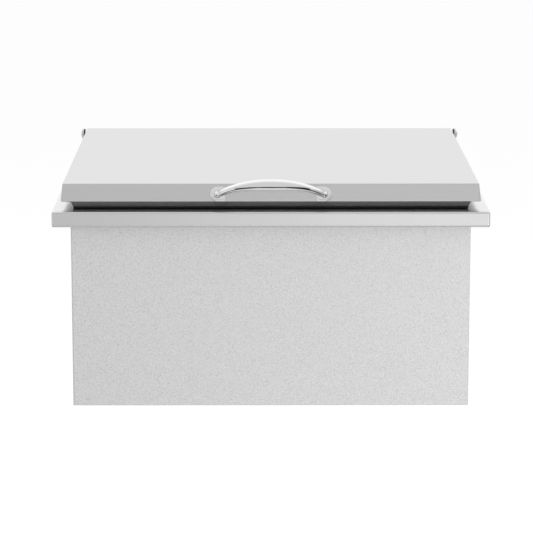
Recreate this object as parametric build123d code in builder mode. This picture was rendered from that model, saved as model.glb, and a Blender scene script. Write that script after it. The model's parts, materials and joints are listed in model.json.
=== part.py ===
from build123d import *
from math import cos, radians, sin, sqrt, tan
import os

# Drop-in ice bin: an insulated stainless well that hangs by its flange in a worktop, with a hinged lid.
# Millimetres. X runs to the right, Y to the back and Z up.
# The origin is the centre of the worktop's surface, on which the flange's lip rests.

# Length by which a cutting body runs past the face that it cuts
overrun = 2.0
# Gap between soft or moving pieces and their seats
seat_gap = 0.3
# Radial clearance of a turning pin in its hole
running_clearance = 0.05
# Radial clearance of a screw in a plain hole
hole_clearance = 0.3

# Counter flange
flange_width = 711.2
flange_depth = 660.4
flange_height = 25.4
flange_sheet = 1.5
flange_bend = 3.0
flange_hem = 12.0
rim_turndown = 12.0
rim_roll = 1.2

# Well: the deck's width beside it and before it, and its corners
deck_beside_well = 55.6
deck_before_well = 55.7
well_corner = 20.0
well_height = 286.0
liner_sheet = 1.2
liner_cove = 16.0
floor_fall = 6.0
floor_border = 12.0
drain_seat = 62.0

# Casing: how far it is set in from the flange's sides and front, and the foam left below the well
casing_side_inset = 28.8
casing_front_inset = 28.9
foam_below_well = 35.4
casing_sheet = 0.8
casing_corner = 3.0
casing_top_flange = 5.0
casing_foot = 18.0
casing_foot_bend = 1.2
panel_clearance = 0.2
seam_width = 25.0

# Rivets of the casing
rivet_radius = 1.6
rivet_head_radius = 3.2
rivet_head_height = 1.0
rivet_head_round = 0.5
base_rivets_across = 5
base_rivets_along = 4
seam_rivets = 6
seam_end_margin = 22.0

# Drain
drain_flange_radius = 24.0
drain_flange_sheet = 2.0
drain_gasket_sheet = 1.5
drain_gasket_radius = 22.0
barrel_radius = 13.2
barrel_below_nut = 3.0
throat_top_radius = 12.2
throat_low_radius = 11.2
throat_depth = 12.0
strainer_well = 6.0
strainer_sheet = 1.0
strainer_hole_radius = 1.8
strainer_ring_radius = 6.8
strainer_ring_holes = 6
outlet_radius = 10.5
outlet_bore = 7.5
outlet_length = 25.0
washer_radius = 21.0
washer_sheet = 2.0
locknut_across = 38.0
locknut_height = 8.0
locknut_chamfer = 1.0

# Drain stopper
stopper_cap_radius = 16.0
stopper_cap_height = 3.0
stopper_plug_height = 10.0
knob_stem_radius = 3.0
knob_stem_height = 5.0
knob_radius = 8.0
knob_height = 7.0
knob_round = 2.5
stopper_round = 1.0

# Lid
lid_inset = 14.0
lid_stand_off = 14.55
lid_skirt = 29.5
lid_draft = 6.5
lid_sheet = 1.2
lid_corner = 4.0
lid_bend = 1.6
lid_hem = 10.5
lid_hem_bend = 1.2
inner_pan_sheet = 0.9
inner_pan_top_inset = 12.6
inner_pan_base_inset = 18.0
inner_pan_rim = 6.0
inner_pan_corner = 4.0
foam_side_gap = 1.0
gasket_thickness = 4.0
gasket_width = 14.0
gasket_setback = 0.8
gasket_round = 1.0

# Hinge
pivot_inset = 16.0
pivot_below_top = 8.0
ear_gap = 1.9
ear_sheet = 2.0
ear_top_radius = 9.0
ear_foot_length = 48.0
ear_foot_strip = 5.0
ear_foot_reach = 13.0
ear_bend = 1.5
ear_screw_margin = 7.0
ear_screw_radius = 2.5
ear_screw_head_radius = 4.5
ear_screw_head_height = 2.2
ear_screw_head_round = 1.2
ear_nut_across = 8.0
ear_nut_height = 4.0
ear_screw_tail = 1.0
bush_radius = 6.5
bush_collar_radius = 8.5
bush_collar = 2.6
pin_head_radius = 9.5
pin_head_edge = 1.0
pin_head_height = 4.0
pin_shoulder_radius = 5.0
pin_thread_radius = 4.0
pin_thread_tail = 2.0
pin_head_gap = 0.1
pivot_plate_setback = 5.2
pivot_plate_sheet = 1.5
pivot_plate_front = 26.0
pivot_plate_rear = 10.5
pivot_plate_foot = 12.0
hinge_nut_across = 13.0
hinge_nut_height = 6.0

# Stop pin in the ear and the arc slot in the lid's skirt that it runs in
stop_pin_radius = 2.0
stop_ring_radius = 12.0
stop_start_angle = 220.0
lid_travel = 100.0
stop_slot_gap = 0.6
stop_pin_reach = 8.2

# Handle
handle_span = 173.0
handle_drop = 2.3
handle_plate_radius = 12.2
handle_plate_height = 3.5
handle_plate_round = 1.0
handle_boss_radius = 9.2
handle_boss_height = 2.0
handle_boss_round = 0.6
handle_neck_radius = 5.2
handle_bulb_radius = 5.9
handle_foot_rise = 7.4
handle_lift_angle = 31.3
handle_leg_angle = 47.0
handle_crest_angle = 10.0
handle_shoulder_radius = 75.0
handle_crest_radius = 170.0
handle_middle_height = 18.8
handle_middle_thickness = 12.6
# Places of the bar's sections, as shares of its half length from a foot, and how far each has swelled
handle_station_shares = (0.0, 0.14, 0.28, 0.42, 0.56, 0.70, 0.85)
handle_swell_shares = (0.0, 0.01, 0.05, 0.20, 0.46, 0.73, 0.94)
handle_screw_radius = 2.5
handle_screw_head_radius = 4.5
handle_screw_head_height = 2.5
handle_screw_depth = 4.0

# Levels
deck_top = flange_height
deck_under = flange_height - flange_sheet
floor_level = deck_top - well_height
seat_level = floor_level - floor_fall
base_panel_top = seat_level - liner_sheet - foam_below_well
base_panel_under = base_panel_top - casing_sheet
casing_foot_level = base_panel_under - casing_sheet

# Well and casing, as the flange leaves them room
well_width = flange_width - 2 * deck_beside_well
well_depth = flange_depth - 2 * deck_before_well
casing_width = flange_width - 2 * casing_side_inset
casing_depth = flange_depth - 2 * casing_front_inset

# Liner and casing, inside sizes
liner_width = well_width + 2 * flange_sheet
liner_depth = well_depth + 2 * flange_sheet
liner_corner = well_corner + flange_sheet
casing_inner_width = casing_width - 2 * casing_sheet
casing_inner_depth = casing_depth - 2 * casing_sheet
casing_inner_corner = casing_corner - casing_sheet

# Drain levels
drain_gasket_top = seat_level + drain_gasket_sheet
drain_flange_top = drain_gasket_top + drain_flange_sheet
throat_bottom = drain_flange_top - throat_depth
strainer_ledge = throat_bottom - strainer_well
locknut_top = casing_foot_level - washer_sheet
locknut_under = locknut_top - locknut_height
barrel_end = locknut_under - barrel_below_nut
outlet_end = barrel_end - outlet_length

# Lid sizes and levels
lid_under = deck_top + lid_stand_off
lid_top = lid_under + lid_skirt
lid_width = flange_width - 2 * lid_inset
lid_depth = flange_depth - 2 * lid_inset
draft_run = tan(radians(lid_draft))
hem_top = lid_under + lid_sheet
pan_rim_top = hem_top + inner_pan_sheet
pan_base = deck_top + gasket_thickness
lid_ceiling = lid_top - lid_sheet
pan_slope_run = (inner_pan_base_inset - inner_pan_top_inset) / (hem_top - pan_base)

# Hinge places
pivot_y = lid_depth / 2 - pivot_inset
pivot_z = lid_top - pivot_below_top
pivot_height = pivot_z - deck_top
ear_inside = lid_width / 2 + ear_gap
ear_screw_pitch = ear_foot_length - 2 * ear_screw_margin
ear_outside = ear_inside + ear_sheet
pivot_plate_outside = lid_width / 2 - pivot_plate_setback
pivot_plate_inside = pivot_plate_outside - pivot_plate_sheet
hinge_nut_end = pivot_plate_inside - hinge_nut_height
pin_tip = hinge_nut_end - pin_thread_tail
stop_slot_half = stop_pin_radius + stop_slot_gap
stop_y = pivot_y + stop_ring_radius * cos(radians(stop_start_angle))
stop_z = pivot_z + stop_ring_radius * sin(radians(stop_start_angle))

# The handle's row on the lid's front skirt, a little under its middle; the skirt leans back by the draft
face_rise = lid_skirt / 2 - handle_drop
face_middle_z = lid_under + face_rise
face_middle_y = -lid_depth / 2 + draft_run * face_rise
face_normal = Vector(0, -cos(radians(lid_draft)), sin(radians(lid_draft)))
face_origin = Vector(0, face_middle_y, face_middle_z)
face_plane = Plane(origin=face_origin, x_dir=(1, 0, 0), z_dir=face_normal)
bow_origin = face_origin + face_normal * handle_foot_rise
bow_normal = Vector(0, -sin(radians(handle_lift_angle)), -cos(radians(handle_lift_angle)))
bow_plane = Plane(origin=bow_origin, x_dir=(1, 0, 0), z_dir=bow_normal)

sides = {"left": -1, "right": 1}
os.makedirs("parts", exist_ok=True)


def save(piece, node):
    piece.label = node
    export_step(piece, f"parts/{node}.step")


def tub_form(growth):
    """The well, grown by a sheet's thickness: straight walls, a coved floor and a fall to the drain."""
    with BuildPart() as tub:
        with BuildSketch(Plane.XY.offset(floor_level - growth)):
            RectangleRounded(liner_width + 2 * growth, liner_depth + 2 * growth, liner_corner + growth)
        extrude(amount=deck_under - floor_level + growth)
        fillet(tub.edges().group_by(Axis.Z)[0], radius=liner_cove + growth)
        border = liner_cove + floor_border
        with BuildSketch(Plane.XY.offset(floor_level - growth)):
            Rectangle(liner_width - 2 * border, liner_depth - 2 * border)
        with BuildSketch(Plane.XY.offset(seat_level - growth)):
            Rectangle(drain_seat, drain_seat)
        loft(ruled=True)
    return tub.part


well_form = tub_form(0)
tub_outside = tub_form(liner_sheet)

# Counter flange: deck, lip, hem turned in under the lip, and a turned-down rim round the well
with BuildPart() as counter_flange:
    with BuildSketch(Plane.XY):
        Rectangle(flange_width, flange_depth)
    extrude(amount=flange_height)
    fillet(counter_flange.edges(), radius=flange_bend)
    with BuildSketch(Plane.XY.offset(flange_sheet)):
        Rectangle(flange_width - 2 * flange_sheet, flange_depth - 2 * flange_sheet)
    extrude(amount=flange_height - 2 * flange_sheet, mode=Mode.SUBTRACT)
    with BuildSketch(Plane.XY):
        Rectangle(
            flange_width - 2 * (flange_sheet + flange_hem),
            flange_depth - 2 * (flange_sheet + flange_hem),
        )
    extrude(amount=flange_sheet, mode=Mode.SUBTRACT)
    with BuildSketch(Plane.XY.offset(deck_top)):
        RectangleRounded(liner_width, liner_depth, liner_corner)
    extrude(amount=-rim_turndown)
    with BuildSketch(Plane.XY.offset(deck_top)):
        RectangleRounded(well_width, well_depth, well_corner)
    extrude(amount=-rim_turndown, mode=Mode.SUBTRACT)
    fillet(counter_flange.faces().sort_by(Axis.Z)[-1].inner_wires()[0].edges(), radius=rim_roll)
    ear_hole_rows = GridLocations(
        2 * (ear_outside - ear_foot_reach / 2), ear_screw_pitch, len(sides), 2
    )
    with BuildSketch(Plane((0, pivot_y, deck_top))):
        with ear_hole_rows:
            Circle(ear_screw_radius + hole_clearance)
    extrude(amount=-flange_sheet, mode=Mode.SUBTRACT)
save(counter_flange.part, "counter_flange")

# Ice liner: the welded tub under the deck
with BuildPart() as ice_liner:
    add(tub_outside)
    add(well_form, mode=Mode.SUBTRACT)
    with BuildSketch(Plane.XY.offset(seat_level)):
        Circle(barrel_radius + hole_clearance)
    extrude(amount=-liner_sheet, mode=Mode.SUBTRACT)
save(ice_liner.part, "ice_liner")

# Foam between the tub and the casing
with BuildPart() as foam_insulation:
    with BuildSketch(Plane.XY.offset(base_panel_top)):
        RectangleRounded(casing_inner_width, casing_inner_depth, casing_inner_corner)
    extrude(amount=deck_under - base_panel_top)
    add(tub_outside, mode=Mode.SUBTRACT)
    with BuildSketch(Plane.XY.offset(base_panel_top)):
        Circle(barrel_radius + hole_clearance)
    extrude(amount=seat_level - base_panel_top, mode=Mode.SUBTRACT)
save(foam_insulation.part, "foam_insulation")

# Rivets: rows along the casing's foot, and one row up its rear seam
foot_row_x = casing_inner_width - casing_foot
foot_row_y = casing_inner_depth - casing_foot
across_pitch = foot_row_x / base_rivets_across
along_pitch = foot_row_y / base_rivets_along
base_rivet_places = [
    *GridLocations(across_pitch, foot_row_y, base_rivets_across, 2).locations,
    *GridLocations(foot_row_x, along_pitch, 2, base_rivets_along).locations,
]
seam_height = deck_under - casing_sheet - casing_foot_level
seam_pitch = (seam_height - 2 * seam_end_margin) / (seam_rivets - 1)
seam_middle = casing_foot_level + seam_height / 2
seam_back = Plane(
    origin=(0, casing_depth / 2 + casing_sheet, seam_middle), x_dir=(1, 0, 0), z_dir=(0, -1, 0)
)
seam_places = GridLocations(seam_width, seam_pitch, 1, seam_rivets)

with BuildPart() as base_rivets:
    with BuildSketch(Plane.XY.offset(casing_foot_level)):
        with Locations(base_rivet_places):
            Circle(rivet_head_radius)
    extrude(amount=-rivet_head_height)
    fillet(base_rivets.edges().group_by(Axis.Z)[0], radius=rivet_head_round)
    with BuildSketch(Plane.XY.offset(casing_foot_level)):
        with Locations(base_rivet_places):
            Circle(rivet_radius)
    extrude(amount=base_panel_top - casing_foot_level)
save(base_rivets.part, "base_rivets")

with BuildPart() as seam_rivets_row:
    with BuildSketch(seam_back):
        with seam_places:
            Circle(rivet_head_radius)
    extrude(amount=-rivet_head_height)
    fillet(seam_rivets_row.edges().group_by(Axis.Y)[-1], radius=rivet_head_round)
    with BuildSketch(seam_back):
        with seam_places:
            Circle(rivet_radius)
    extrude(amount=2 * casing_sheet)
save(seam_rivets_row.part, "seam_rivets")

# Outer casing: the embossed wrap, flanged out under the deck and in at its foot, lapped at the back
with BuildPart() as outer_casing:
    with BuildSketch(Plane.XY.offset(casing_foot_level)):
        RectangleRounded(casing_width, casing_depth, casing_corner)
    extrude(amount=deck_under - casing_foot_level)
    fillet(outer_casing.edges().group_by(Axis.Z)[0], radius=casing_foot_bend)
    with BuildSketch(Plane.XY.offset(deck_under)):
        RectangleRounded(
            casing_width + 2 * casing_top_flange,
            casing_depth + 2 * casing_top_flange,
            casing_corner + casing_top_flange,
        )
    extrude(amount=-casing_sheet)
    with BuildSketch(Plane((0, casing_depth / 2, casing_foot_level))):
        Rectangle(seam_width, casing_sheet, align=(Align.CENTER, Align.MIN))
    extrude(amount=deck_under - casing_sheet - casing_foot_level)
    with BuildSketch(Plane.XY.offset(base_panel_under)):
        RectangleRounded(casing_inner_width, casing_inner_depth, casing_inner_corner)
    extrude(amount=deck_under - base_panel_under, mode=Mode.SUBTRACT)
    with BuildSketch(Plane.XY.offset(casing_foot_level)):
        Rectangle(casing_inner_width - 2 * casing_foot, casing_inner_depth - 2 * casing_foot)
    extrude(amount=casing_sheet, mode=Mode.SUBTRACT)
    add(base_rivets.part, mode=Mode.SUBTRACT)
    add(seam_rivets_row.part, mode=Mode.SUBTRACT)
save(outer_casing.part, "outer_casing")

# Casing base panel, laid on the casing's inward foot
with BuildPart() as casing_base:
    with BuildSketch(Plane.XY.offset(base_panel_under)):
        RectangleRounded(
            casing_inner_width - 2 * panel_clearance,
            casing_inner_depth - 2 * panel_clearance,
            casing_inner_corner,
        )
        Circle(barrel_radius + hole_clearance, mode=Mode.SUBTRACT)
    extrude(amount=casing_sheet)
    add(base_rivets.part, mode=Mode.SUBTRACT)
save(casing_base.part, "casing_base")

# Drain body: a flange in the well, a threaded barrel through the foam and an outlet stub below
with BuildPart() as drain_body:
    with BuildSketch(Plane.XZ):
        with BuildLine():
            Polyline(
                (throat_top_radius, drain_flange_top),
                (drain_flange_radius, drain_flange_top),
                (drain_flange_radius, drain_gasket_top),
                (barrel_radius, drain_gasket_top),
                (barrel_radius, barrel_end),
                (outlet_radius, barrel_end),
                (outlet_radius, outlet_end),
                (outlet_bore, outlet_end),
                (outlet_bore, strainer_ledge),
                (throat_low_radius, strainer_ledge),
                (throat_low_radius, throat_bottom),
                close=True,
            )
        make_face()
    revolve(axis=Axis.Z)
    flange_edge = drain_body.edges().filter_by(GeomType.CIRCLE).group_by(SortBy.RADIUS)[-1]
    fillet(flange_edge.sort_by(Axis.Z)[-1], radius=drain_flange_sheet / 2)
save(drain_body.part, "drain_body")

with BuildPart() as drain_strainer:
    with BuildSketch(Plane.XY.offset(strainer_ledge)):
        Circle(throat_low_radius - running_clearance)
        Circle(strainer_hole_radius, mode=Mode.SUBTRACT)
        with PolarLocations(strainer_ring_radius, strainer_ring_holes):
            Circle(strainer_hole_radius, mode=Mode.SUBTRACT)
    extrude(amount=strainer_sheet)
save(drain_strainer.part, "drain_strainer")

with BuildPart() as drain_gasket:
    with BuildSketch(Plane.XY.offset(seat_level)):
        Circle(drain_gasket_radius)
        Circle(barrel_radius + hole_clearance, mode=Mode.SUBTRACT)
    extrude(amount=drain_gasket_sheet)
save(drain_gasket.part, "drain_gasket")

with BuildPart() as drain_washer:
    with BuildSketch(Plane.XY.offset(casing_foot_level)):
        Circle(washer_radius)
        Circle(barrel_radius + hole_clearance, mode=Mode.SUBTRACT)
    extrude(amount=-washer_sheet)
save(drain_washer.part, "drain_washer")

with BuildPart() as drain_locknut:
    with BuildSketch(Plane.XY.offset(locknut_under)):
        RegularPolygon(locknut_across / 2, side_count=6, major_radius=False)
        Circle(barrel_radius + running_clearance, mode=Mode.SUBTRACT)
    extrude(amount=locknut_height)
    with BuildSketch(Plane.XY.offset(locknut_under)):
        Circle(locknut_across / 2 + locknut_chamfer)
    extrude(amount=locknut_height, mode=Mode.INTERSECT)
save(drain_locknut.part, "drain_locknut")

# Drain stopper: a rubber plug whose cap rests on the drain's flange, with a steel knob
stopper_seat = drain_flange_top + seat_gap
plug_run = (throat_top_radius - throat_low_radius) / throat_depth
with BuildPart() as drain_stopper:
    with BuildSketch(Plane.XZ):
        with BuildLine():
            Polyline(
                (0, stopper_seat - stopper_plug_height),
                (throat_top_radius - seat_gap - plug_run * stopper_plug_height,
                 stopper_seat - stopper_plug_height),
                (throat_top_radius - seat_gap, stopper_seat),
                (stopper_cap_radius, stopper_seat),
                (stopper_cap_radius, stopper_seat + stopper_cap_height),
                (0, stopper_seat + stopper_cap_height),
                close=True,
            )
        make_face()
    revolve(axis=Axis.Z)
    fillet(drain_stopper.edges().group_by(Axis.Z)[-1], radius=stopper_round)
save(drain_stopper.part, "drain_stopper")

knob_level = stopper_seat + stopper_cap_height
with BuildPart() as stopper_knob:
    with BuildSketch(Plane.XY.offset(knob_level)):
        Circle(knob_stem_radius)
    extrude(amount=knob_stem_height)
    with BuildSketch(Plane.XY.offset(knob_level + knob_stem_height)):
        Circle(knob_radius)
    extrude(amount=knob_height)
    fillet(stopper_knob.edges().group_by(Axis.Z)[-1], radius=knob_round)
save(stopper_knob.part, "stopper_knob")


def side_plane(sign, distance):
    """A plane on the hinge axis, at a distance from the middle, that faces outwards on its side."""
    return Plane(origin=(sign * distance, pivot_y, pivot_z), x_dir=(0, sign, 0), z_dir=(sign, 0, 0))


def hinge_ear(sign):
    """Upright ear with a rounded top, folded inwards into a foot that is screwed to the deck."""
    foot_middle = sign * (ear_outside - ear_foot_reach / 2)
    with BuildPart() as ear:
        with BuildSketch(side_plane(sign, ear_inside)):
            Circle(ear_top_radius)
            with Locations((0, ear_foot_strip / 2 - pivot_height)):
                Rectangle(ear_foot_length, ear_foot_strip)
            make_hull()
        extrude(amount=ear_sheet)
        with BuildSketch(Plane((foot_middle, pivot_y, deck_top))):
            Rectangle(ear_foot_reach, ear_foot_length)
        extrude(amount=ear_sheet)
        heel = ear.edges().filter_by(Axis.Y).group_by(Axis.Z)[0].sort_by(Axis.X)
        fillet(heel[-1] if sign > 0 else heel[0], radius=ear_bend)
        with BuildSketch(side_plane(sign, ear_inside)):
            Circle(bush_radius)
            with Locations((sign * (stop_y - pivot_y), stop_z - pivot_z)):
                Circle(stop_pin_radius)
        extrude(amount=ear_sheet, mode=Mode.SUBTRACT)
        with BuildSketch(Plane((foot_middle, pivot_y, deck_top))):
            with GridLocations(0, ear_screw_pitch, 1, 2):
                Circle(ear_screw_radius + hole_clearance)
        extrude(amount=ear_sheet, mode=Mode.SUBTRACT)
    return ear.part


def hinge_bush(sign):
    """Plain bush in the ear, with a collar that fills the gap between the ear and the lid."""
    with BuildPart() as bush:
        with BuildSketch(side_plane(sign, ear_inside)):
            Circle(bush_radius)
        extrude(amount=ear_sheet)
        with BuildSketch(side_plane(sign, ear_inside - bush_collar)):
            Circle(bush_collar_radius)
        extrude(amount=bush_collar)
        with BuildSketch(side_plane(sign, ear_inside - bush_collar)):
            Circle(pin_shoulder_radius + running_clearance)
        extrude(amount=ear_sheet + bush_collar, mode=Mode.SUBTRACT)
    return bush.part


def hinge_pin(sign):
    """Shoulder screw: domed head outside the ear, shoulder to the pivot plate, thread through its nut."""
    head_under = ear_outside + pin_head_gap
    head_rim = head_under + pin_head_edge
    dome_height = pin_head_height - pin_head_edge
    dome_radius = (pin_head_radius**2 + dome_height**2) / (2 * dome_height)
    dome_half = pin_head_radius / 2
    dome_middle = head_rim + dome_height - dome_radius + sqrt(dome_radius**2 - dome_half**2)
    profile_plane = Plane(origin=(0, pivot_y, pivot_z), x_dir=(sign, 0, 0), z_dir=(0, -sign, 0))
    with BuildPart() as pin:
        with BuildSketch(profile_plane):
            with BuildLine():
                Polyline(
                    (head_rim + dome_height, 0),
                    (pin_tip, 0),
                    (pin_tip, pin_thread_radius),
                    (pivot_plate_outside, pin_thread_radius),
                    (pivot_plate_outside, pin_shoulder_radius),
                    (head_under, pin_shoulder_radius),
                    (head_under, pin_head_radius),
                    (head_rim, pin_head_radius),
                )
                ThreePointArc(
                    (head_rim, pin_head_radius),
                    (dome_middle, dome_half),
                    (head_rim + dome_height, 0),
                )
            make_face()
        revolve(axis=Axis((0, pivot_y, pivot_z), (1, 0, 0)))
    return pin.part


def hinge_nut(sign):
    """Hexagon nut on the pin's thread, against the pivot plate's inner side."""
    with BuildPart() as nut:
        with BuildSketch(side_plane(sign, hinge_nut_end)):
            RegularPolygon(hinge_nut_across / 2, side_count=6, major_radius=False)
            Circle(pin_thread_radius + running_clearance, mode=Mode.SUBTRACT)
        extrude(amount=hinge_nut_height)
    return nut.part


def pivot_plate(sign):
    """Angle plate inside the lid: its wall carries the pin, its foot is welded to the inner pan's rim."""
    plate_middle_y = pivot_y + (pivot_plate_rear - pivot_plate_front) / 2
    plate_length = pivot_plate_rear + pivot_plate_front
    wall_middle = sign * (pivot_plate_outside - pivot_plate_sheet / 2)
    foot_middle = sign * (pivot_plate_outside - pivot_plate_foot / 2)
    with BuildPart() as plate:
        with BuildSketch(Plane((wall_middle, plate_middle_y, pan_rim_top))):
            Rectangle(pivot_plate_sheet, plate_length)
        extrude(amount=lid_ceiling - pan_rim_top)
        with BuildSketch(Plane((foot_middle, plate_middle_y, pan_rim_top))):
            Rectangle(pivot_plate_foot, plate_length)
        extrude(amount=pivot_plate_sheet)
        with BuildSketch(side_plane(sign, pivot_plate_inside)):
            Circle(pin_thread_radius + running_clearance)
        extrude(amount=pivot_plate_sheet, mode=Mode.SUBTRACT)
    return plate.part


def stop_pin(sign):
    """Pin set in the ear that reaches through the skirt's arc slot and ends the lid's travel."""
    with BuildPart() as pin:
        with BuildSketch(side_plane(sign, ear_outside)):
            with Locations((sign * (stop_y - pivot_y), stop_z - pivot_z)):
                Circle(stop_pin_radius)
        extrude(amount=-stop_pin_reach)
    return pin.part


for side, sign in sides.items():
    save(hinge_ear(sign), f"hinge_ear_{side}")
    save(hinge_bush(sign), f"hinge_bush_{side}")
    save(hinge_pin(sign), f"hinge_pin_{side}")
    save(hinge_nut(sign), f"hinge_nut_{side}")
    save(pivot_plate(sign), f"pivot_plate_{side}")
    save(stop_pin(sign), f"stop_pin_{side}")

# Screws and nuts that hold the ears' feet to the deck
with BuildPart() as ear_screws:
    with BuildSketch(Plane((0, pivot_y, deck_top + ear_sheet))):
        with ear_hole_rows:
            Circle(ear_screw_head_radius)
    extrude(amount=ear_screw_head_height)
    fillet(ear_screws.edges().group_by(Axis.Z)[-1], radius=ear_screw_head_round)
    with BuildSketch(Plane((0, pivot_y, deck_top + ear_sheet))):
        with ear_hole_rows:
            Circle(ear_screw_radius)
    extrude(amount=-(ear_sheet + flange_sheet + ear_nut_height + ear_screw_tail))
save(ear_screws.part, "ear_screws")

with BuildPart() as ear_nuts:
    with BuildSketch(Plane((0, pivot_y, deck_under))):
        with ear_hole_rows:
            RegularPolygon(ear_nut_across / 2, side_count=6, major_radius=False)
            Circle(ear_screw_radius + running_clearance, mode=Mode.SUBTRACT)
    extrude(amount=-ear_nut_height)
save(ear_nuts.part, "ear_nuts")

# Lid outer pan: flat top and drafted skirt, bent in at its foot into a hem
skirt_inner_width = lid_width - 2 * lid_sheet
skirt_inner_depth = lid_depth - 2 * lid_sheet
hem_draft = draft_run * lid_sheet
with BuildPart() as lid_outer_pan:
    with BuildSketch(Plane.XY.offset(lid_under)):
        RectangleRounded(lid_width, lid_depth, lid_corner)
    extrude(amount=lid_skirt, taper=lid_draft)
    fillet(lid_outer_pan.edges().group_by(Axis.Z)[-1], radius=lid_bend)
    fillet(lid_outer_pan.edges().group_by(Axis.Z)[0], radius=lid_hem_bend)
    with BuildSketch(Plane.XY.offset(hem_top)):
        RectangleRounded(
            skirt_inner_width - 2 * hem_draft, skirt_inner_depth - 2 * hem_draft, lid_corner - lid_sheet
        )
    extrude(amount=lid_ceiling - hem_top, taper=lid_draft, mode=Mode.SUBTRACT)
    with BuildSketch(Plane.XY.offset(lid_under)):
        Rectangle(skirt_inner_width - 2 * lid_hem, skirt_inner_depth - 2 * lid_hem)
    extrude(amount=lid_sheet, mode=Mode.SUBTRACT)
    for sign in sides.values():
        with BuildSketch(side_plane(sign, pivot_plate_outside)):
            Circle(pin_shoulder_radius + running_clearance)
            first_angle = stop_start_angle if sign > 0 else 180 - stop_start_angle - lid_travel
            with BuildLine():
                for radius in (stop_ring_radius - stop_slot_half, stop_ring_radius + stop_slot_half):
                    CenterArc((0, 0), radius, first_angle, lid_travel)
                for end_angle, cap_angle in ((first_angle, 180), (first_angle + lid_travel, 0)):
                    cap_middle = Vector(stop_ring_radius, 0).rotate(Axis.Z, end_angle)
                    CenterArc(cap_middle, stop_slot_half, end_angle + cap_angle, 180)
            make_face()
        extrude(amount=pivot_plate_setback + overrun, mode=Mode.SUBTRACT)
    with BuildSketch(face_plane):
        with GridLocations(handle_span, 0, 2, 1):
            Circle(handle_screw_radius + hole_clearance)
    extrude(amount=-2 * lid_sheet, mode=Mode.SUBTRACT)
save(lid_outer_pan.part, "lid_outer_pan")


def inner_pan_form(level, growth, base):
    """Tapered tray shape from its base up to a level, its sides drawn in by a sheet's thickness."""
    base_inset = inner_pan_top_inset + pan_slope_run * (hem_top - base)
    with BuildPart() as form:
        with BuildSketch(Plane.XY.offset(base)):
            RectangleRounded(
                lid_width - 2 * (base_inset + growth),
                lid_depth - 2 * (base_inset + growth),
                inner_pan_corner - growth,
            )
        with BuildSketch(Plane.XY.offset(level)):
            RectangleRounded(
                lid_width - 2 * (inner_pan_top_inset - pan_slope_run * (level - hem_top) + growth),
                lid_depth - 2 * (inner_pan_top_inset - pan_slope_run * (level - hem_top) + growth),
                inner_pan_corner - growth,
            )
        loft(ruled=True)
    return form.part


# Lid inner pan: a shallow tapered tray whose rim lies on the lid's hem
tray_outside = inner_pan_form(hem_top, 0, pan_base)
tray_inside = inner_pan_form(pan_rim_top, inner_pan_sheet, pan_base + inner_pan_sheet)
with BuildPart() as lid_inner_pan:
    with BuildSketch(Plane.XY.offset(hem_top)):
        RectangleRounded(
            lid_width - 2 * (inner_pan_top_inset - inner_pan_rim),
            lid_depth - 2 * (inner_pan_top_inset - inner_pan_rim),
            inner_pan_corner + inner_pan_rim,
        )
    extrude(amount=inner_pan_sheet)
    add(tray_outside)
    add(tray_inside, mode=Mode.SUBTRACT)
save(lid_inner_pan.part, "lid_inner_pan")

# Foam block inside the lid, from the tray's floor to the lid's top
foam_inset = inner_pan_base_inset + inner_pan_sheet + foam_side_gap
with BuildPart() as lid_foam:
    with BuildSketch(Plane.XY.offset(pan_base + inner_pan_sheet)):
        RectangleRounded(
            lid_width - 2 * foam_inset,
            lid_depth - 2 * foam_inset,
            inner_pan_corner - foam_side_gap,
        )
    extrude(amount=lid_ceiling - pan_base - inner_pan_sheet)
save(lid_foam.part, "lid_foam")

# Gasket under the inner pan
gasket_inset = inner_pan_base_inset + gasket_setback
with BuildPart() as lid_gasket:
    with BuildSketch(Plane.XY.offset(pan_base)):
        RectangleRounded(
            lid_width - 2 * gasket_inset, lid_depth - 2 * gasket_inset, inner_pan_corner
        )
        Rectangle(
            lid_width - 2 * (gasket_inset + gasket_width),
            lid_depth - 2 * (gasket_inset + gasket_width),
            mode=Mode.SUBTRACT,
        )
    extrude(amount=-(gasket_thickness - seat_gap))
    fillet(lid_gasket.edges().group_by(Axis.Z)[0], radius=gasket_round)
save(lid_gasket.part, "lid_gasket")

# Half of the bow handle's centre line: leg, shoulder and crest, each tangent to the next
leg_rise = sin(radians(handle_leg_angle))
leg_run = cos(radians(handle_leg_angle))
crest_rise = sin(radians(handle_crest_angle))
leg_length = (
    handle_span / 2
    - handle_crest_radius * crest_rise
    - handle_shoulder_radius * (leg_rise - crest_rise)
) / leg_run
foot_x = -handle_span / 2
shoulder_start = (foot_x + leg_length * leg_run, leg_length * leg_rise)
with BuildLine() as bow_line:
    leg = Line((foot_x, 0), shoulder_start)
    shoulder = JernArc(
        leg @ 1, leg % 1, handle_shoulder_radius, handle_crest_angle - handle_leg_angle
    )
    JernArc(shoulder @ 1, shoulder % 1, handle_crest_radius, -2 * handle_crest_angle)
    mirror(bow_line.edges().sort_by(Axis.X)[0:2], about=Plane.YZ)
bow_wire = bow_plane.from_local_coords(Wire(bow_line.edges()))

# Sections from foot to foot: the half's shares, the middle, and the half's shares mirrored
half_shares = [share / 2 for share in handle_station_shares]
bar_shares = [*half_shares, 1 / 2, *[1 - share for share in reversed(half_shares)]]
bar_swell_shares = [*handle_swell_shares, 1, *reversed(handle_swell_shares)]
bar_height_gain = handle_middle_height / 2 - handle_neck_radius
bar_thickness_gain = handle_middle_thickness / 2 - handle_neck_radius

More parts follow.
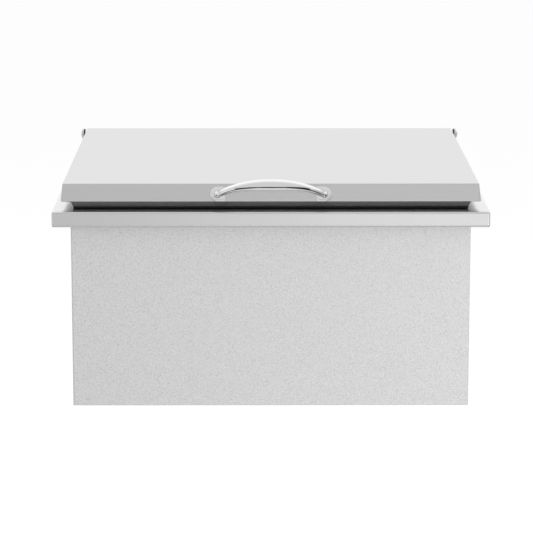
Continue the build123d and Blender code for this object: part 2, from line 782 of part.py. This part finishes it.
with BuildPart() as bow:
    for share, swell in zip(bar_shares, bar_swell_shares):
        station = Plane(origin=bow_wire @ share, x_dir=bow_normal, z_dir=bow_wire % share)
        with BuildSketch(station):
            Ellipse(
                handle_neck_radius + bar_height_gain * swell,
                handle_neck_radius + bar_thickness_gain * swell,
            )
    loft()
    for share in (0, 1):
        with Locations(Plane(origin=bow_wire @ share, x_dir=bow_normal, z_dir=bow_wire % share)):
            Sphere(handle_bulb_radius)

with BuildPart() as handle_bar:
    add(bow.part)
    with BuildSketch(face_plane):
        with GridLocations(handle_span, 0, 2, 1):
            Circle(handle_screw_radius + running_clearance)
    extrude(amount=handle_plate_height + handle_screw_depth, mode=Mode.SUBTRACT)
save(handle_bar.part, "handle_bar")


def handle_base(sign):
    """Escutcheon, round outside and cut straight inside, with a step and a socket for the bar's foot."""
    middle = sign * handle_span / 2
    with BuildPart() as base:
        for radius, height, edge_round in (
            (handle_plate_radius, handle_plate_height, handle_plate_round),
            (handle_boss_radius, handle_plate_height + handle_boss_height, handle_boss_round),
        ):
            with BuildSketch(face_plane):
                with Locations((middle, 0)):
                    Circle(radius)
                with Locations((middle - sign * radius / 2, 0)):
                    Rectangle(radius, 2 * radius)
            extrude(amount=height)
            front = base.faces().sort_by(Axis(face_origin, face_normal))[-1]
            fillet(front.outer_wire().edges(), radius=edge_round)
        add(bow.part, mode=Mode.SUBTRACT)
        with BuildSketch(face_plane):
            with Locations((middle, 0)):
                Circle(handle_screw_radius + hole_clearance)
        extrude(amount=handle_plate_height, mode=Mode.SUBTRACT)
    return base.part


for side, sign in sides.items():
    save(handle_base(sign), f"handle_base_{side}")

# Screws from inside the lid's skirt into the bar's feet
skirt_inside = face_plane.offset(-lid_sheet)
with BuildPart() as handle_screws:
    with BuildSketch(skirt_inside):
        with GridLocations(handle_span, 0, 2, 1):
            Circle(handle_screw_head_radius)
    extrude(amount=-handle_screw_head_height)
    with BuildSketch(skirt_inside):
        with GridLocations(handle_span, 0, 2, 1):
            Circle(handle_screw_radius)
    extrude(amount=lid_sheet + handle_plate_height + handle_screw_depth)
save(handle_screws.part, "handle_screws")
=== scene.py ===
import json
from math import radians

import bpy
import numpy as np
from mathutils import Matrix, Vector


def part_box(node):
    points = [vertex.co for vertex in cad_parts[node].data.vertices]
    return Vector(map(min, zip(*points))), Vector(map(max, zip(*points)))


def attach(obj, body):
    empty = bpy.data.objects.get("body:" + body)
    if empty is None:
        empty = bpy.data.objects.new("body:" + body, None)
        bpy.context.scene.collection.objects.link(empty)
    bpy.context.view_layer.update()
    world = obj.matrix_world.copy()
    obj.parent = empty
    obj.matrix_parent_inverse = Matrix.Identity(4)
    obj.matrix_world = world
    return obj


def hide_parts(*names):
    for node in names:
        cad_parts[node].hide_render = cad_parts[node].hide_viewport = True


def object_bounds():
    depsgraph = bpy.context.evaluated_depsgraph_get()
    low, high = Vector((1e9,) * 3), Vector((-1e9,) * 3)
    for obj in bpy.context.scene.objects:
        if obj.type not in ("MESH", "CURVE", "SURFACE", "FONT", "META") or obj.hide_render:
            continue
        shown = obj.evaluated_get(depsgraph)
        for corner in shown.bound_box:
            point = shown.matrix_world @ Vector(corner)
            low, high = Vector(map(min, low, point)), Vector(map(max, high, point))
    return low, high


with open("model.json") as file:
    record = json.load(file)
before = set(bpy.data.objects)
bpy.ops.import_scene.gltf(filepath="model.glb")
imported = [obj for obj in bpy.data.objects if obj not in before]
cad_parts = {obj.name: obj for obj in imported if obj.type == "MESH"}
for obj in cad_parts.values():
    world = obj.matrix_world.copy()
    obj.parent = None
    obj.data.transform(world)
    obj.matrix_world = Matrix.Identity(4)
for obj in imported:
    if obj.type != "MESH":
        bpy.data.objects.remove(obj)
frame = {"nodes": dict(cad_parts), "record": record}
cad_low, cad_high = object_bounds()
nodes = frame["nodes"]

# Drop-in ice bin, dressed around its solids. Metres, X to the right, Y to the back and Z up.

# The photograph's side in pixels, and the camera that matches it: its place, and its degrees down
# and right
photo_side = 533
focal_pixels = 2566.5
camera_place = (-0.0219, -4.4225, 0.7552)
camera_pitch = 11.326
camera_yaw = 0.207

# Floor: how far it is below the part, half its side, its grey under light, and the light that it
# gives off
floor_gap = 0.6
floor_half = 30.0
floor_grey = 0.5
floor_glow = 0.64

# Light on the part: the world's level, and of each lamp its place, aim, size and watts
world_light = 0.68
overhead_lamp = ((0, 0.4, 2.8), (0, 0, 0), (3.3, 2.7), 28)
right_lamp = ((1.3, -1.5, -0.3), (0, -0.3, -0.15), (1.0, 0.5), 14.5)

# The studio in reflections, above the floor: white overhead and behind, and a pale wall in front.
# A direction passes from wall to sky by how far back it points, from -1 to 1, and is shaded where
# it is low and aside.
sky_level = 1.1
wall_level = 0.71
wall_near = -0.6
wall_far = 0.2
side_shade = 0.3
shade_upward = (0.5, 0.0)
shade_sideways = (0.5, 1.0)

# The studio's floor in reflections: a white table in a dark patch. Round the patch the floor is
# pale, by the levels beside the part and, from where ahead starts, by those ahead. Both pass from
# left to right within a reach of the middle, and far off the floor meets the wall. Polished metal
# also shows a dark aisle, which widens away to the front by its slopes. Places are from the
# origin, in metres, and edges are soft by the last value.
table_level = 0.74
table_x = (-0.6, 0.65)
table_y = (-2.6, 0.6)
dark_level = 0.04
dark_x = (-1.1, 1.55)
dark_y = (-3.1, -0.2)
beside_left = 0.85
beside_right = 0.5
ahead_left = 0.84
ahead_right = 1.58
middle_reach = 0.9
ahead_start = (-2.6, -3.2)
wall_start = (-6.0, -9.0)
aisle_level = 0.03
aisle_start = -0.34
aisle_near = -0.8
aisle_slope = (-1.7, 2.4)
aisle_x = (-3.3, 29.0)
edge_soft = 0.08

# Brushed steel: lines to the metre along and across the grain, its broad patches and their share,
# the height of its relief, and how much it stretches highlights. The tilt keeps the tangent off
# upright faces' normals. A mitre is the well's half width and half depth. Without one it is too
# wide for the part to have side strips.
grain_along = 4.0
grain_across = 900.0
grain_detail = 2.0
grain_relief = 0.0001
grain_stretch = 0.6
patch_scale = 6.0
patch_detail = 1.0
patch_share = 0.5
side_facing = 0.7
tangent_tilt = 0.02
no_mitre = (10.0, 0.0)
well_half = (0.3, 0.2745)

# Fine mottle of the plain finishes
mottle_scale = 400.0
mottle_relief = 0.0002

# The casing's emboss: how far its cells wander, how they slant and stretch, and the height of its
# relief; and where the painted shade along the bends and the foot begins, as half widths and a
# level
wander_scale = 260.0
wander_detail = 1.0
wander_reach = 0.003
cell_slant = 0.5
cell_stretch = 0.8
cell_smoothness = 0.4
emboss_strength = 0.5
emboss_relief = 0.0006
bend_x = 0.3248
bend_y = 0.2993
foot_z = -0.3036

# The lid's gasket
gasket_width = 0.014
gasket_groove = 0.0012
gasket_round = 0.0006
gasket_round_power = 16
gasket_ribs = 3
gasket_steps = 37
gasket_corner_inner = 0.001
gasket_corner_outer = 0.004
arc_steps = 9

# The drain's body
drain_flange = 0.024
drain_flange_sheet = 0.002
edge_round = 0.0007
throat_top = 0.0122
throat_low = 0.0112
throat_depth = 0.012
strainer_well = 0.006
barrel_radius = 0.0132
barrel_plain = 0.034
outlet_radius = 0.0105
outlet_bore = 0.0075
outlet_length = 0.025
barrel_pitch = 0.0021
outlet_pitch = 0.0018
thread_cut = 0.0009
thread_steps = 90
turn_steps = 96

# Edges that turn by more degrees than this are shaded sharp
sharp_angle = 35

FLOAT = "NodeSocketFloat"
COLOUR = "NodeSocketColor"
VECTOR = "NodeSocketVector"


def grey(level):
    """A neutral colour."""
    return (level, level, level)


def feed(tree, node, values):
    """Fill a node's inputs, by name or number: each is linked to an output, or set to a number or
    colour."""
    for key, value in values.items():
        if isinstance(value, bpy.types.NodeSocket):
            tree.links.new(value, node.inputs[key])
        else:
            node.inputs[key].default_value = value


def add(tree, kind, values=None, **settings):
    """A node of that kind, with its settings and what its inputs are fed."""
    node = tree.nodes.new(kind)
    for key, value in settings.items():
        setattr(node, key, value)
    feed(tree, node, values or {})
    return node


def math(tree, operation, *terms):
    """A Math node on outputs or numbers; gives its result."""
    return add(tree, "ShaderNodeMath", dict(enumerate(terms)), operation=operation).outputs[0]


def split(tree, vector):
    """The X, Y and Z of a vector."""
    return add(tree, "ShaderNodeSeparateXYZ", {0: vector}).outputs


def toned(tree, colour, tone):
    """A colour times a tone."""
    values = {0: colour, "Scale": tone}
    return add(tree, "ShaderNodeVectorMath", values, operation="SCALE").outputs[0]


def bumped(tree, height, strength, relief):
    """The surface's normal, turned by a pattern of heights."""
    values = {"Height": height, "Strength": strength, "Distance": relief}
    return add(tree, "ShaderNodeBump", values).outputs[0]


def blend(tree, share, low, high):
    """low where share is 0, high where it is 1; both are outputs or numbers."""
    span = math(tree, "SUBTRACT", high, low)
    return math(tree, "MULTIPLY_ADD", share, span, low)


def smooth_step(tree, value, start, end):
    """0 up to start, 1 past end, and a smooth ramp between; start may be the larger."""
    values = {"Value": value, "From Min": start, "From Max": end}
    ramp = add(tree, "ShaderNodeMapRange", values, interpolation_type="SMOOTHSTEP")
    return ramp.outputs["Result"]


def new_material(name, base, metallic, roughness):
    """A material with its Principled shader, and the values that are the same all over."""
    material = bpy.data.materials.new(name)
    material.use_nodes = True
    tree = material.node_tree
    shader = tree.nodes["Principled BSDF"]
    feed(tree, shader, {"Base Color": (*base, 1.0), "Metallic": metallic, "Roughness": roughness})
    return material, tree, shader


def new_group(name, inputs, outputs):
    """A shader node group with named sockets. Inputs are name, kind and value; outputs are name
    and kind."""
    group = bpy.data.node_groups.new(name, "ShaderNodeTree")
    for label, kind, value in inputs:
        socket = group.interface.new_socket(label, in_out="INPUT", socket_type=kind)
        socket.default_value = value
    for label, kind in outputs:
        group.interface.new_socket(label, in_out="OUTPUT", socket_type=kind)
    return group, group.nodes.new("NodeGroupInput").outputs, group.nodes.new("NodeGroupOutput")


def put_group(tree, group, **values):
    """A node group placed in a material, with its own values for the inputs named."""
    named = {key.replace("_", " ").capitalize(): value for key, value in values.items()}
    return add(tree, "ShaderNodeGroup", named, node_tree=group)


def brushed_grain():
    """Fine lines along X on top, front and back faces, along Y on faces in the side strips, along
    Z on side faces. A side strip is what lies farther past the mitre's half width than past its
    half depth."""
    group, given, result = new_group(
        "brushed_grain",
        [
            ("Base colour", COLOUR, (*grey(0.6), 1.0)),
            ("Contrast", FLOAT, 0.05),
            ("Roughness", FLOAT, 0.3),
            ("Roughness spread", FLOAT, 0.05),
            ("Depth", FLOAT, 0.05),
            ("Mitre half width", FLOAT, no_mitre[0]),
            ("Mitre half depth", FLOAT, no_mitre[1]),
        ],
        [("Colour", COLOUR), ("Roughness", FLOAT), ("Normal", VECTOR), ("Side strip", FLOAT)],
    )
    place = add(group, "ShaderNodeTexCoord")
    x, y, z = split(group, place.outputs["Object"])
    facing_x = split(group, place.outputs["Normal"])[0]
    beyond_side = math(group, "SUBTRACT", math(group, "ABSOLUTE", x), given["Mitre half width"])
    beyond_front = math(group, "SUBTRACT", math(group, "ABSOLUTE", y), given["Mitre half depth"])
    side_strip = math(group, "GREATER_THAN", beyond_side, beyond_front)
    elsewhere = math(group, "SUBTRACT", 1.0, side_strip)
    side_face = math(group, "GREATER_THAN", math(group, "ABSOLUTE", facing_x), side_facing)
    upright = math(group, "MULTIPLY", side_face, elsewhere)
    along_x = math(group, "SUBTRACT", elsewhere, upright)
    stretched = []
    for axis, mask in ((x, along_x), (y, side_strip), (z, upright)):
        scale = blend(group, mask, grain_across, grain_along)
        stretched.append(math(group, "MULTIPLY", axis, scale))
    across = add(group, "ShaderNodeCombineXYZ", dict(enumerate(stretched)))
    lines = add(group, "ShaderNodeTexNoise", {
        "Vector": across.outputs[0],
        "Scale": 1.0,
        "Detail": grain_detail,
    }).outputs["Fac"]
    patches = add(group, "ShaderNodeTexNoise", {
        "Vector": place.outputs["Object"],
        "Scale": patch_scale,
        "Detail": patch_detail,
    }).outputs["Fac"]
    swing = math(group, "SUBTRACT", lines, 0.5)
    drift = math(group, "SUBTRACT", patches, 0.5)
    both = math(group, "MULTIPLY_ADD", drift, patch_share, swing)
    tone = math(group, "MULTIPLY_ADD", both, given["Contrast"], 1.0)
    rough = math(group, "MULTIPLY_ADD", both, given["Roughness spread"], given["Roughness"])
    feed(group, result, {
        "Colour": toned(group, given["Base colour"], tone),
        "Roughness": rough,
        "Normal": bumped(group, lines, given["Depth"], grain_relief),
        "Side strip": side_strip,
    })
    return group


grain = brushed_grain()


def brushed_steel(name, base, roughness, mitre=no_mitre):
    """Brushed stainless steel; mitre is the well's half width and half depth, where the grain
    turns a corner. The tangent lies across the grain, so highlights stretch that way."""
    material, tree, shader = new_material(name, base, 1.0, roughness)
    lines = put_group(tree, grain, base_colour=(*base, 1.0), roughness=roughness,
                      mitre_half_width=mitre[0], mitre_half_depth=mitre[1]).outputs
    across = add(tree, "ShaderNodeCombineXYZ", {
        "X": lines["Side strip"],
        "Y": math(tree, "SUBTRACT", 1.0, lines["Side strip"]),
        "Z": tangent_tilt,
    })
    feed(tree, shader, {
        "Base Color": lines["Colour"],
        "Roughness": lines["Roughness"],
        "Normal": lines["Normal"],
        "Tangent": across.outputs[0],
        "Anisotropic": grain_stretch,
    })
    return material


def plain(name, base, metallic, roughness, contrast=0.06, depth=0.1):
    """A finish with a fine even mottle."""
    material, tree, shader = new_material(name, base, metallic, roughness)
    place = add(tree, "ShaderNodeTexCoord").outputs["Object"]
    noise = add(tree, "ShaderNodeTexNoise", {"Vector": place, "Scale": mottle_scale})
    mottle = noise.outputs["Fac"]
    swing = math(tree, "SUBTRACT", mottle, 0.5)
    tone = math(tree, "MULTIPLY_ADD", swing, contrast, 1.0)
    feed(tree, shader, {
        "Base Color": toned(tree, base, tone),
        "Normal": bumped(tree, mottle, depth, mottle_relief),
    })
    return material


def embossed_sheet():
    """Pebbled emboss with slanting cells on a coated sheet, with painted shade that darkens it a
    little along its upright bends and foot."""
    group, given, result = new_group(
        "embossed_sheet",
        [
            ("Base colour", COLOUR, (*grey(0.62), 1.0)),
            ("Cells", FLOAT, 520.0),
            ("Contrast", FLOAT, 0.36),
            ("Roughness", FLOAT, 0.5),
            ("Roughness spread", FLOAT, 0.15),
            ("Bend painted shade", FLOAT, 0.88),
            ("Bend x", FLOAT, bend_x),
            ("Bend y", FLOAT, bend_y),
            ("Foot z", FLOAT, foot_z),
        ],
        [("Colour", COLOUR), ("Roughness", FLOAT), ("Height", FLOAT)],
    )
    place = add(group, "ShaderNodeTexCoord").outputs["Object"]
    wander = add(group, "ShaderNodeTexNoise", {
        "Vector": place,
        "Scale": wander_scale,
        "Detail": wander_detail,
    })
    reach = {0: wander.outputs["Color"], 1: (wander_reach, wander_reach, wander_reach), 2: place}
    wandered = add(group, "ShaderNodeVectorMath", reach, operation="MULTIPLY_ADD")
    right, back, up = split(group, wandered.outputs[0])
    slanted = add(group, "ShaderNodeCombineXYZ", {
        "X": math(group, "MULTIPLY_ADD", up, cell_slant, right),
        "Y": math(group, "MULTIPLY_ADD", up, cell_slant, back),
        "Z": math(group, "MULTIPLY", up, cell_stretch),
    })
    cells = add(group, "ShaderNodeTexVoronoi", {
        "Vector": slanted.outputs[0],
        "Scale": given["Cells"],
        "Smoothness": cell_smoothness,
    }, feature="SMOOTH_F1")
    pebble = math(group, "SUBTRACT", 0.5, cells.outputs["Distance"])
    x, y, z = split(group, place)
    past_x = math(group, "GREATER_THAN", math(group, "ABSOLUTE", x), given["Bend x"])
    past_y = math(group, "GREATER_THAN", math(group, "ABSOLUTE", y), given["Bend y"])
    foot = math(group, "LESS_THAN", z, given["Foot z"])
    # Painted shade: the sheet's colour is darker past the upright bends and below the foot's level
    painted_shade = math(group, "MAXIMUM", math(group, "MULTIPLY", past_x, past_y), foot)
    tone = math(group, "MULTIPLY_ADD", pebble, given["Contrast"], 1.0)
    tone = math(group, "MULTIPLY", tone, blend(group, painted_shade, 1.0, given["Bend painted shade"]))
    rough = math(group, "MULTIPLY_ADD", pebble, given["Roughness spread"], given["Roughness"])
    feed(group, result, {
        "Colour": toned(group, given["Base colour"], tone),
        "Roughness": rough,
        "Height": pebble,
    })
    return group


def embossed_steel(name, base, metallic, roughness):
    """Coated sheet steel with the emboss, which is shallow."""
    material, tree, shader = new_material(name, base, metallic, roughness)
    emboss = embossed_sheet()
    sheet = put_group(tree, emboss, base_colour=(*base, 1.0), roughness=roughness).outputs
    feed(tree, shader, {
        "Base Color": sheet["Colour"],
        "Roughness": sheet["Roughness"],
        "Normal": bumped(tree, sheet["Height"], emboss_strength, emboss_relief),
    })
    return material


deck_steel = brushed_steel("deck_steel", grey(0.66), roughness=0.22, mitre=well_half)
lid_steel = brushed_steel("lid_steel", grey(0.66), roughness=0.25)
liner_steel = brushed_steel("liner_steel", grey(0.60), roughness=0.32)
# Painted shade: the inner pan's steel is darker than the other steels
pan_steel_painted_shade = brushed_steel("pan_steel_painted_shade", grey(0.3), roughness=0.22)
casing_steel = embossed_steel("casing_steel", grey(0.66), metallic=0.4, roughness=0.5)
chrome = plain("chrome", grey(0.86), metallic=1.0, roughness=0.0, contrast=0.02, depth=0.0)
fastener_steel = plain("fastener_steel", grey(0.5), metallic=1.0, roughness=0.35)
rubber = plain("rubber", grey(0.008), metallic=0.0, roughness=0.8)
nylon = plain("nylon", grey(0.03), metallic=0.0, roughness=0.45)
drain_plastic = plain("drain_plastic", (0.8, 0.8, 0.78), metallic=0.0, roughness=0.4)
foam = plain("foam", (0.8, 0.7, 0.42), metallic=0.0, roughness=0.9)

finish_of_slot = {
    "stainless_deck": deck_steel,
    "stainless_lid": lid_steel,
    "stainless_liner": liner_steel,
    "embossed_coated_steel": casing_steel,
    "rivet_steel": fastener_steel,
    "fastener_steel": fastener_steel,
    "chrome": chrome,
    "black_rubber": rubber,
    "nylon": nylon,
    "drain_plastic": drain_plastic,
    "foam": foam,
}
# The inner pan gets a darker steel than the liner: painted shade for its slanted wall under the
# lid
finish_of_node = {"lid_inner_pan": pan_steel_painted_shade}
for row in frame["record"]["subparts"]:
    mesh = nodes[row["node"]].data
    mesh.materials.clear()
    mesh.materials.append(finish_of_node.get(row["node"], finish_of_slot[row["material_slot"]]))


def closed_band(name, points, finish):
    """An object from a grid of points whose rows and whose columns both close up on themselves.
    Rows run round the path and columns round the profile, so that the faces point outwards."""
    rows, columns = points.shape[:2]
    here = np.arange(rows * columns).reshape(rows, columns)
    ahead = np.roll(here, -1, axis=0)
    faces = np.stack((here, ahead, np.roll(ahead, -1, axis=1), np.roll(here, -1, axis=1)), axis=-1)
    mesh = bpy.data.meshes.new(name)
    mesh.from_pydata(points.reshape(-1, 3).tolist(), [], faces.reshape(-1, 4).tolist())
    mesh.polygons.foreach_set("use_smooth", np.ones(rows * columns, dtype=bool))
    mesh.set_sharp_from_angle(angle=radians(sharp_angle))
    mesh.materials.append(finish)
    piece = bpy.data.objects.new(name, mesh)
    bpy.context.scene.collection.objects.link(piece)
    return piece


def gasket_strip():
    """The lid's gasket with three ribs under it. The path is a rectangle with arcs for corners: a
    point that lies u outside the middle line is on a rectangle whose half sides are the middle
    line's plus u, and whose corner radius grows evenly from the inner edge to the outer one. The
    profile's underside is the lowest level, plus the groove's depth times the sine squared of
    three half turns over the width, plus a round-over that grows with the sixteenth power of u.
    Its top is flat against the lid."""
    low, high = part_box("lid_gasket")
    half = gasket_width / 2
    across = np.linspace(-1.0, 1.0, gasket_steps)
    under = low.z + gasket_groove * np.sin(gasket_ribs * np.pi * (across + 1) / 2) ** 2
    under = under + gasket_round * np.abs(across) ** gasket_round_power
    u = half * np.concatenate((across, (1.0, -1.0)))
    z = np.concatenate((under, (high.z, high.z)))
    growth = (gasket_corner_outer - gasket_corner_inner) * (u + half) / gasket_width
    radius = gasket_corner_inner + growth
    quarter = np.repeat(np.arange(4), arc_steps)
    turn = (quarter + np.tile(np.linspace(0.0, 1.0, arc_steps), 4)) * np.pi / 2
    sign_x = np.where((quarter == 0) | (quarter == 3), 1.0, -1.0)
    sign_y = np.where(quarter < 2, 1.0, -1.0)
    x = sign_x[:, None] * (high.x - half + u - radius) + radius * np.cos(turn)[:, None]
    y_middle = (high.y + low.y) / 2
    y_half = (high.y - low.y) / 2
    y = y_middle + sign_y[:, None] * (y_half - half + u - radius) + radius * np.sin(turn)[:, None]
    points = np.stack((x, y, np.broadcast_to(z, x.shape)), axis=-1)
    piece = closed_band("gasket_strip", points, rubber)
    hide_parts("lid_gasket")
    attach(piece, "lid")


def thread_depth(level, start, end, pitch, turn):
    """How far a thread is cut in at a level and an angle: a triangle wave of the level over the
    pitch, less the part of a turn, times the depth, which fades out within a pitch of both
    ends."""
    fade = np.clip(np.minimum(start - level, level - end) / pitch, 0.0, 1.0)
    wave = np.abs(((level / pitch - turn / (2 * np.pi)) % 1.0) * 2.0 - 1.0)
    return thread_cut * fade * wave


def threaded_drain():
    """The drain body, turned round the Z axis: a flange in the well, a threaded barrel and a
    threaded outlet. A point at the angle a and the profile's radius r is at r cos a, r sin a, and
    on a threaded stretch the radius is less by the thread's depth there. The profile runs down
    outside and up inside, so the angle runs backwards for the faces to point outwards."""
    low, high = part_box("drain_body")
    flange_under = high.z - drain_flange_sheet
    barrel_end = low.z + outlet_length
    barrel = np.linspace(flange_under - barrel_plain, barrel_end, thread_steps)
    outlet = np.linspace(barrel_end, low.z, thread_steps)
    throat_end = high.z - throat_depth
    ledge = throat_end - strainer_well
    flange = np.array(((throat_top, high.z), (drain_flange - edge_round, high.z),
                       (drain_flange, high.z - edge_round), (drain_flange, flange_under),
                       (barrel_radius, flange_under)))
    bore = np.array(((outlet_bore, low.z), (outlet_bore, ledge),
                     (throat_low, ledge), (throat_low, throat_end)))
    radius = np.concatenate((flange[:, 0], np.full(thread_steps, barrel_radius),
                             np.full(thread_steps, outlet_radius), bore[:, 0]))
    level = np.concatenate((flange[:, 1], barrel, outlet, bore[:, 1]))
    turn = -np.linspace(0.0, 2 * np.pi, turn_steps, endpoint=False)[:, None]
    cut = np.zeros((turn_steps, len(level)))
    first = len(flange)
    for stretch, pitch in ((barrel, barrel_pitch), (outlet, outlet_pitch)):
        depth = thread_depth(stretch, stretch[0], stretch[-1], pitch, turn)
        cut[:, first:first + thread_steps] = depth
        first += thread_steps
    reach = radius - cut
    z = np.broadcast_to(level, cut.shape)
    points = np.stack((reach * np.cos(turn), reach * np.sin(turn), z), axis=-1)
    piece = closed_band("threaded_drain", points, drain_plastic)
    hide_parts("drain_body")
    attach(piece, "bin")


gasket_strip()
threaded_drain()


def inside(tree, x, y, span_x, span_y):
    """1 inside a rectangle, 0 outside it, with a soft edge."""
    share = 1.0
    for place, (low, high) in ((x, span_x), (y, span_y)):
        above = smooth_step(tree, place, low - edge_soft, low + edge_soft)
        below = smooth_step(tree, place, high + edge_soft, high - edge_soft)
        share = math(tree, "MULTIPLY", share, math(tree, "MULTIPLY", above, below))
    return share


def floor_pattern(tree, polished):
    """How bright the studio's floor is at a place in reflections; polished is 1 for what a mirror
    shows. The aisle is where the way to the right, over the way to the front from the aisle's
    start, is within its slopes."""
    x, y = split(tree, add(tree, "ShaderNodeTexCoord").outputs["Object"])[:2]
    rightward = smooth_step(tree, x, -middle_reach, middle_reach)
    beside = blend(tree, rightward, beside_left, beside_right)
    ahead = blend(tree, rightward, ahead_left, ahead_right)
    ahead = blend(tree, smooth_step(tree, y, *wall_start), ahead, wall_level)
    level = blend(tree, smooth_step(tree, y, *ahead_start), beside, ahead)
    slope = math(tree, "DIVIDE", x, math(tree, "SUBTRACT", aisle_start, y))
    aisle = inside(tree, slope, x, aisle_slope, aisle_x)
    aisle = math(tree, "MULTIPLY", aisle, smooth_step(tree, y, aisle_near, aisle_near - edge_soft))
    level = blend(tree, math(tree, "MULTIPLY", aisle, polished), level, aisle_level)
    level = blend(tree, inside(tree, x, y, dark_x, dark_y), level, dark_level)
    return blend(tree, inside(tree, x, y, table_x, table_y), level, table_level)


def floor_plane():
    """A flat square floor, white to the camera apart from a soft shadow, with the studio's floor
    in reflections. From below it is clear."""
    level = cad_low.z - floor_gap
    mesh = bpy.data.meshes.new("floor")
    corners = [(-floor_half, -floor_half, level), (floor_half, -floor_half, level),
               (floor_half, floor_half, level), (-floor_half, floor_half, level)]
    mesh.from_pydata(corners, [], [(0, 1, 2, 3)])
    floor = bpy.data.objects.new("floor", mesh)
    bpy.context.scene.collection.objects.link(floor)
    material = bpy.data.materials.new("floor_white")
    material.use_nodes = True
    tree = material.node_tree
    tree.nodes.clear()
    path = add(tree, "ShaderNodeLightPath").outputs
    pattern = floor_pattern(tree, path["Is Singular Ray"])
    matt = add(tree, "ShaderNodeBsdfDiffuse", {"Color": (*grey(floor_grey), 1.0)}).outputs[0]
    glow = add(tree, "ShaderNodeEmission", {"Strength": floor_glow}).outputs[0]
    lit = add(tree, "ShaderNodeAddShader", {0: matt, 1: glow}).outputs[0]
    studio = add(tree, "ShaderNodeEmission", {"Strength": pattern}).outputs[0]
    glossy = path["Is Glossy Ray"]
    top = add(tree, "ShaderNodeMixShader", {0: glossy, 1: lit, 2: studio}).outputs[0]
    clear = add(tree, "ShaderNodeBsdfTransparent").outputs[0]
    below = add(tree, "ShaderNodeNewGeometry").outputs["Backfacing"]
    either = add(tree, "ShaderNodeMixShader", {0: below, 1: top, 2: clear}).outputs[0]
    add(tree, "ShaderNodeOutputMaterial", {"Surface": either})
    mesh.materials.append(material)


floor_plane()


def studio_world():
    """White to the camera, a softer even light on the part, and in reflections white with a pale
    grey front wall."""
    world = bpy.data.worlds.new("studio")
    bpy.context.scene.world = world
    world.use_nodes = True
    tree = world.node_tree
    path = add(tree, "ShaderNodeLightPath").outputs
    seen = math(tree, "MAXIMUM", path["Is Camera Ray"], path["Is Transmission Ray"])
    x, y, z = split(tree, add(tree, "ShaderNodeTexCoord").outputs["Generated"])
    mirrored = blend(tree, smooth_step(tree, y, wall_near, wall_far), wall_level, sky_level)
    low = smooth_step(tree, z, *shade_upward)
    aside = smooth_step(tree, math(tree, "ABSOLUTE", x), *shade_sideways)
    shade = math(tree, "MULTIPLY", math(tree, "MULTIPLY", low, aside), -side_shade)
    mirrored = math(tree, "MULTIPLY_ADD", mirrored, shade, mirrored)
    strength = blend(tree, path["Is Glossy Ray"], world_light, mirrored)
    strength = math(tree, "MAXIMUM", strength, seen)
    feed(tree, tree.nodes["Background"], {"Color": (*grey(1.0), 1.0), "Strength": strength})


studio_world()


def area_light(name, place, aim, size, power):
    """A soft rectangular light that faces a point. Metal doesn't mirror it, because the world
    stands for it."""
    light = bpy.data.lights.new(name, "AREA")
    light.shape = "RECTANGLE"
    light.size, light.size_y = size
    light.energy = power
    lamp = bpy.data.objects.new(name, light)
    bpy.context.scene.collection.objects.link(lamp)
    lamp.location = place
    way = Vector(aim) - Vector(place)
    lamp.rotation_euler = way.to_track_quat("-Z", "Y").to_euler()
    lamp.visible_camera = False
    lamp.visible_glossy = False


area_light("overhead", *overhead_lamp)
area_light("right", *right_lamp)

# Camera. Turned 90 degrees about X it looks level to the back.
camera_data = bpy.data.cameras.new("camera")
camera_data.lens = camera_data.sensor_width * focal_pixels / photo_side
camera = bpy.data.objects.new("camera", camera_data)
bpy.context.scene.collection.objects.link(camera)
camera.location = camera_place
camera.rotation_euler = (radians(90 - camera_pitch), 0, -radians(camera_yaw))
bpy.context.scene.camera = camera

bpy.context.scene.view_settings.view_transform = "Standard"
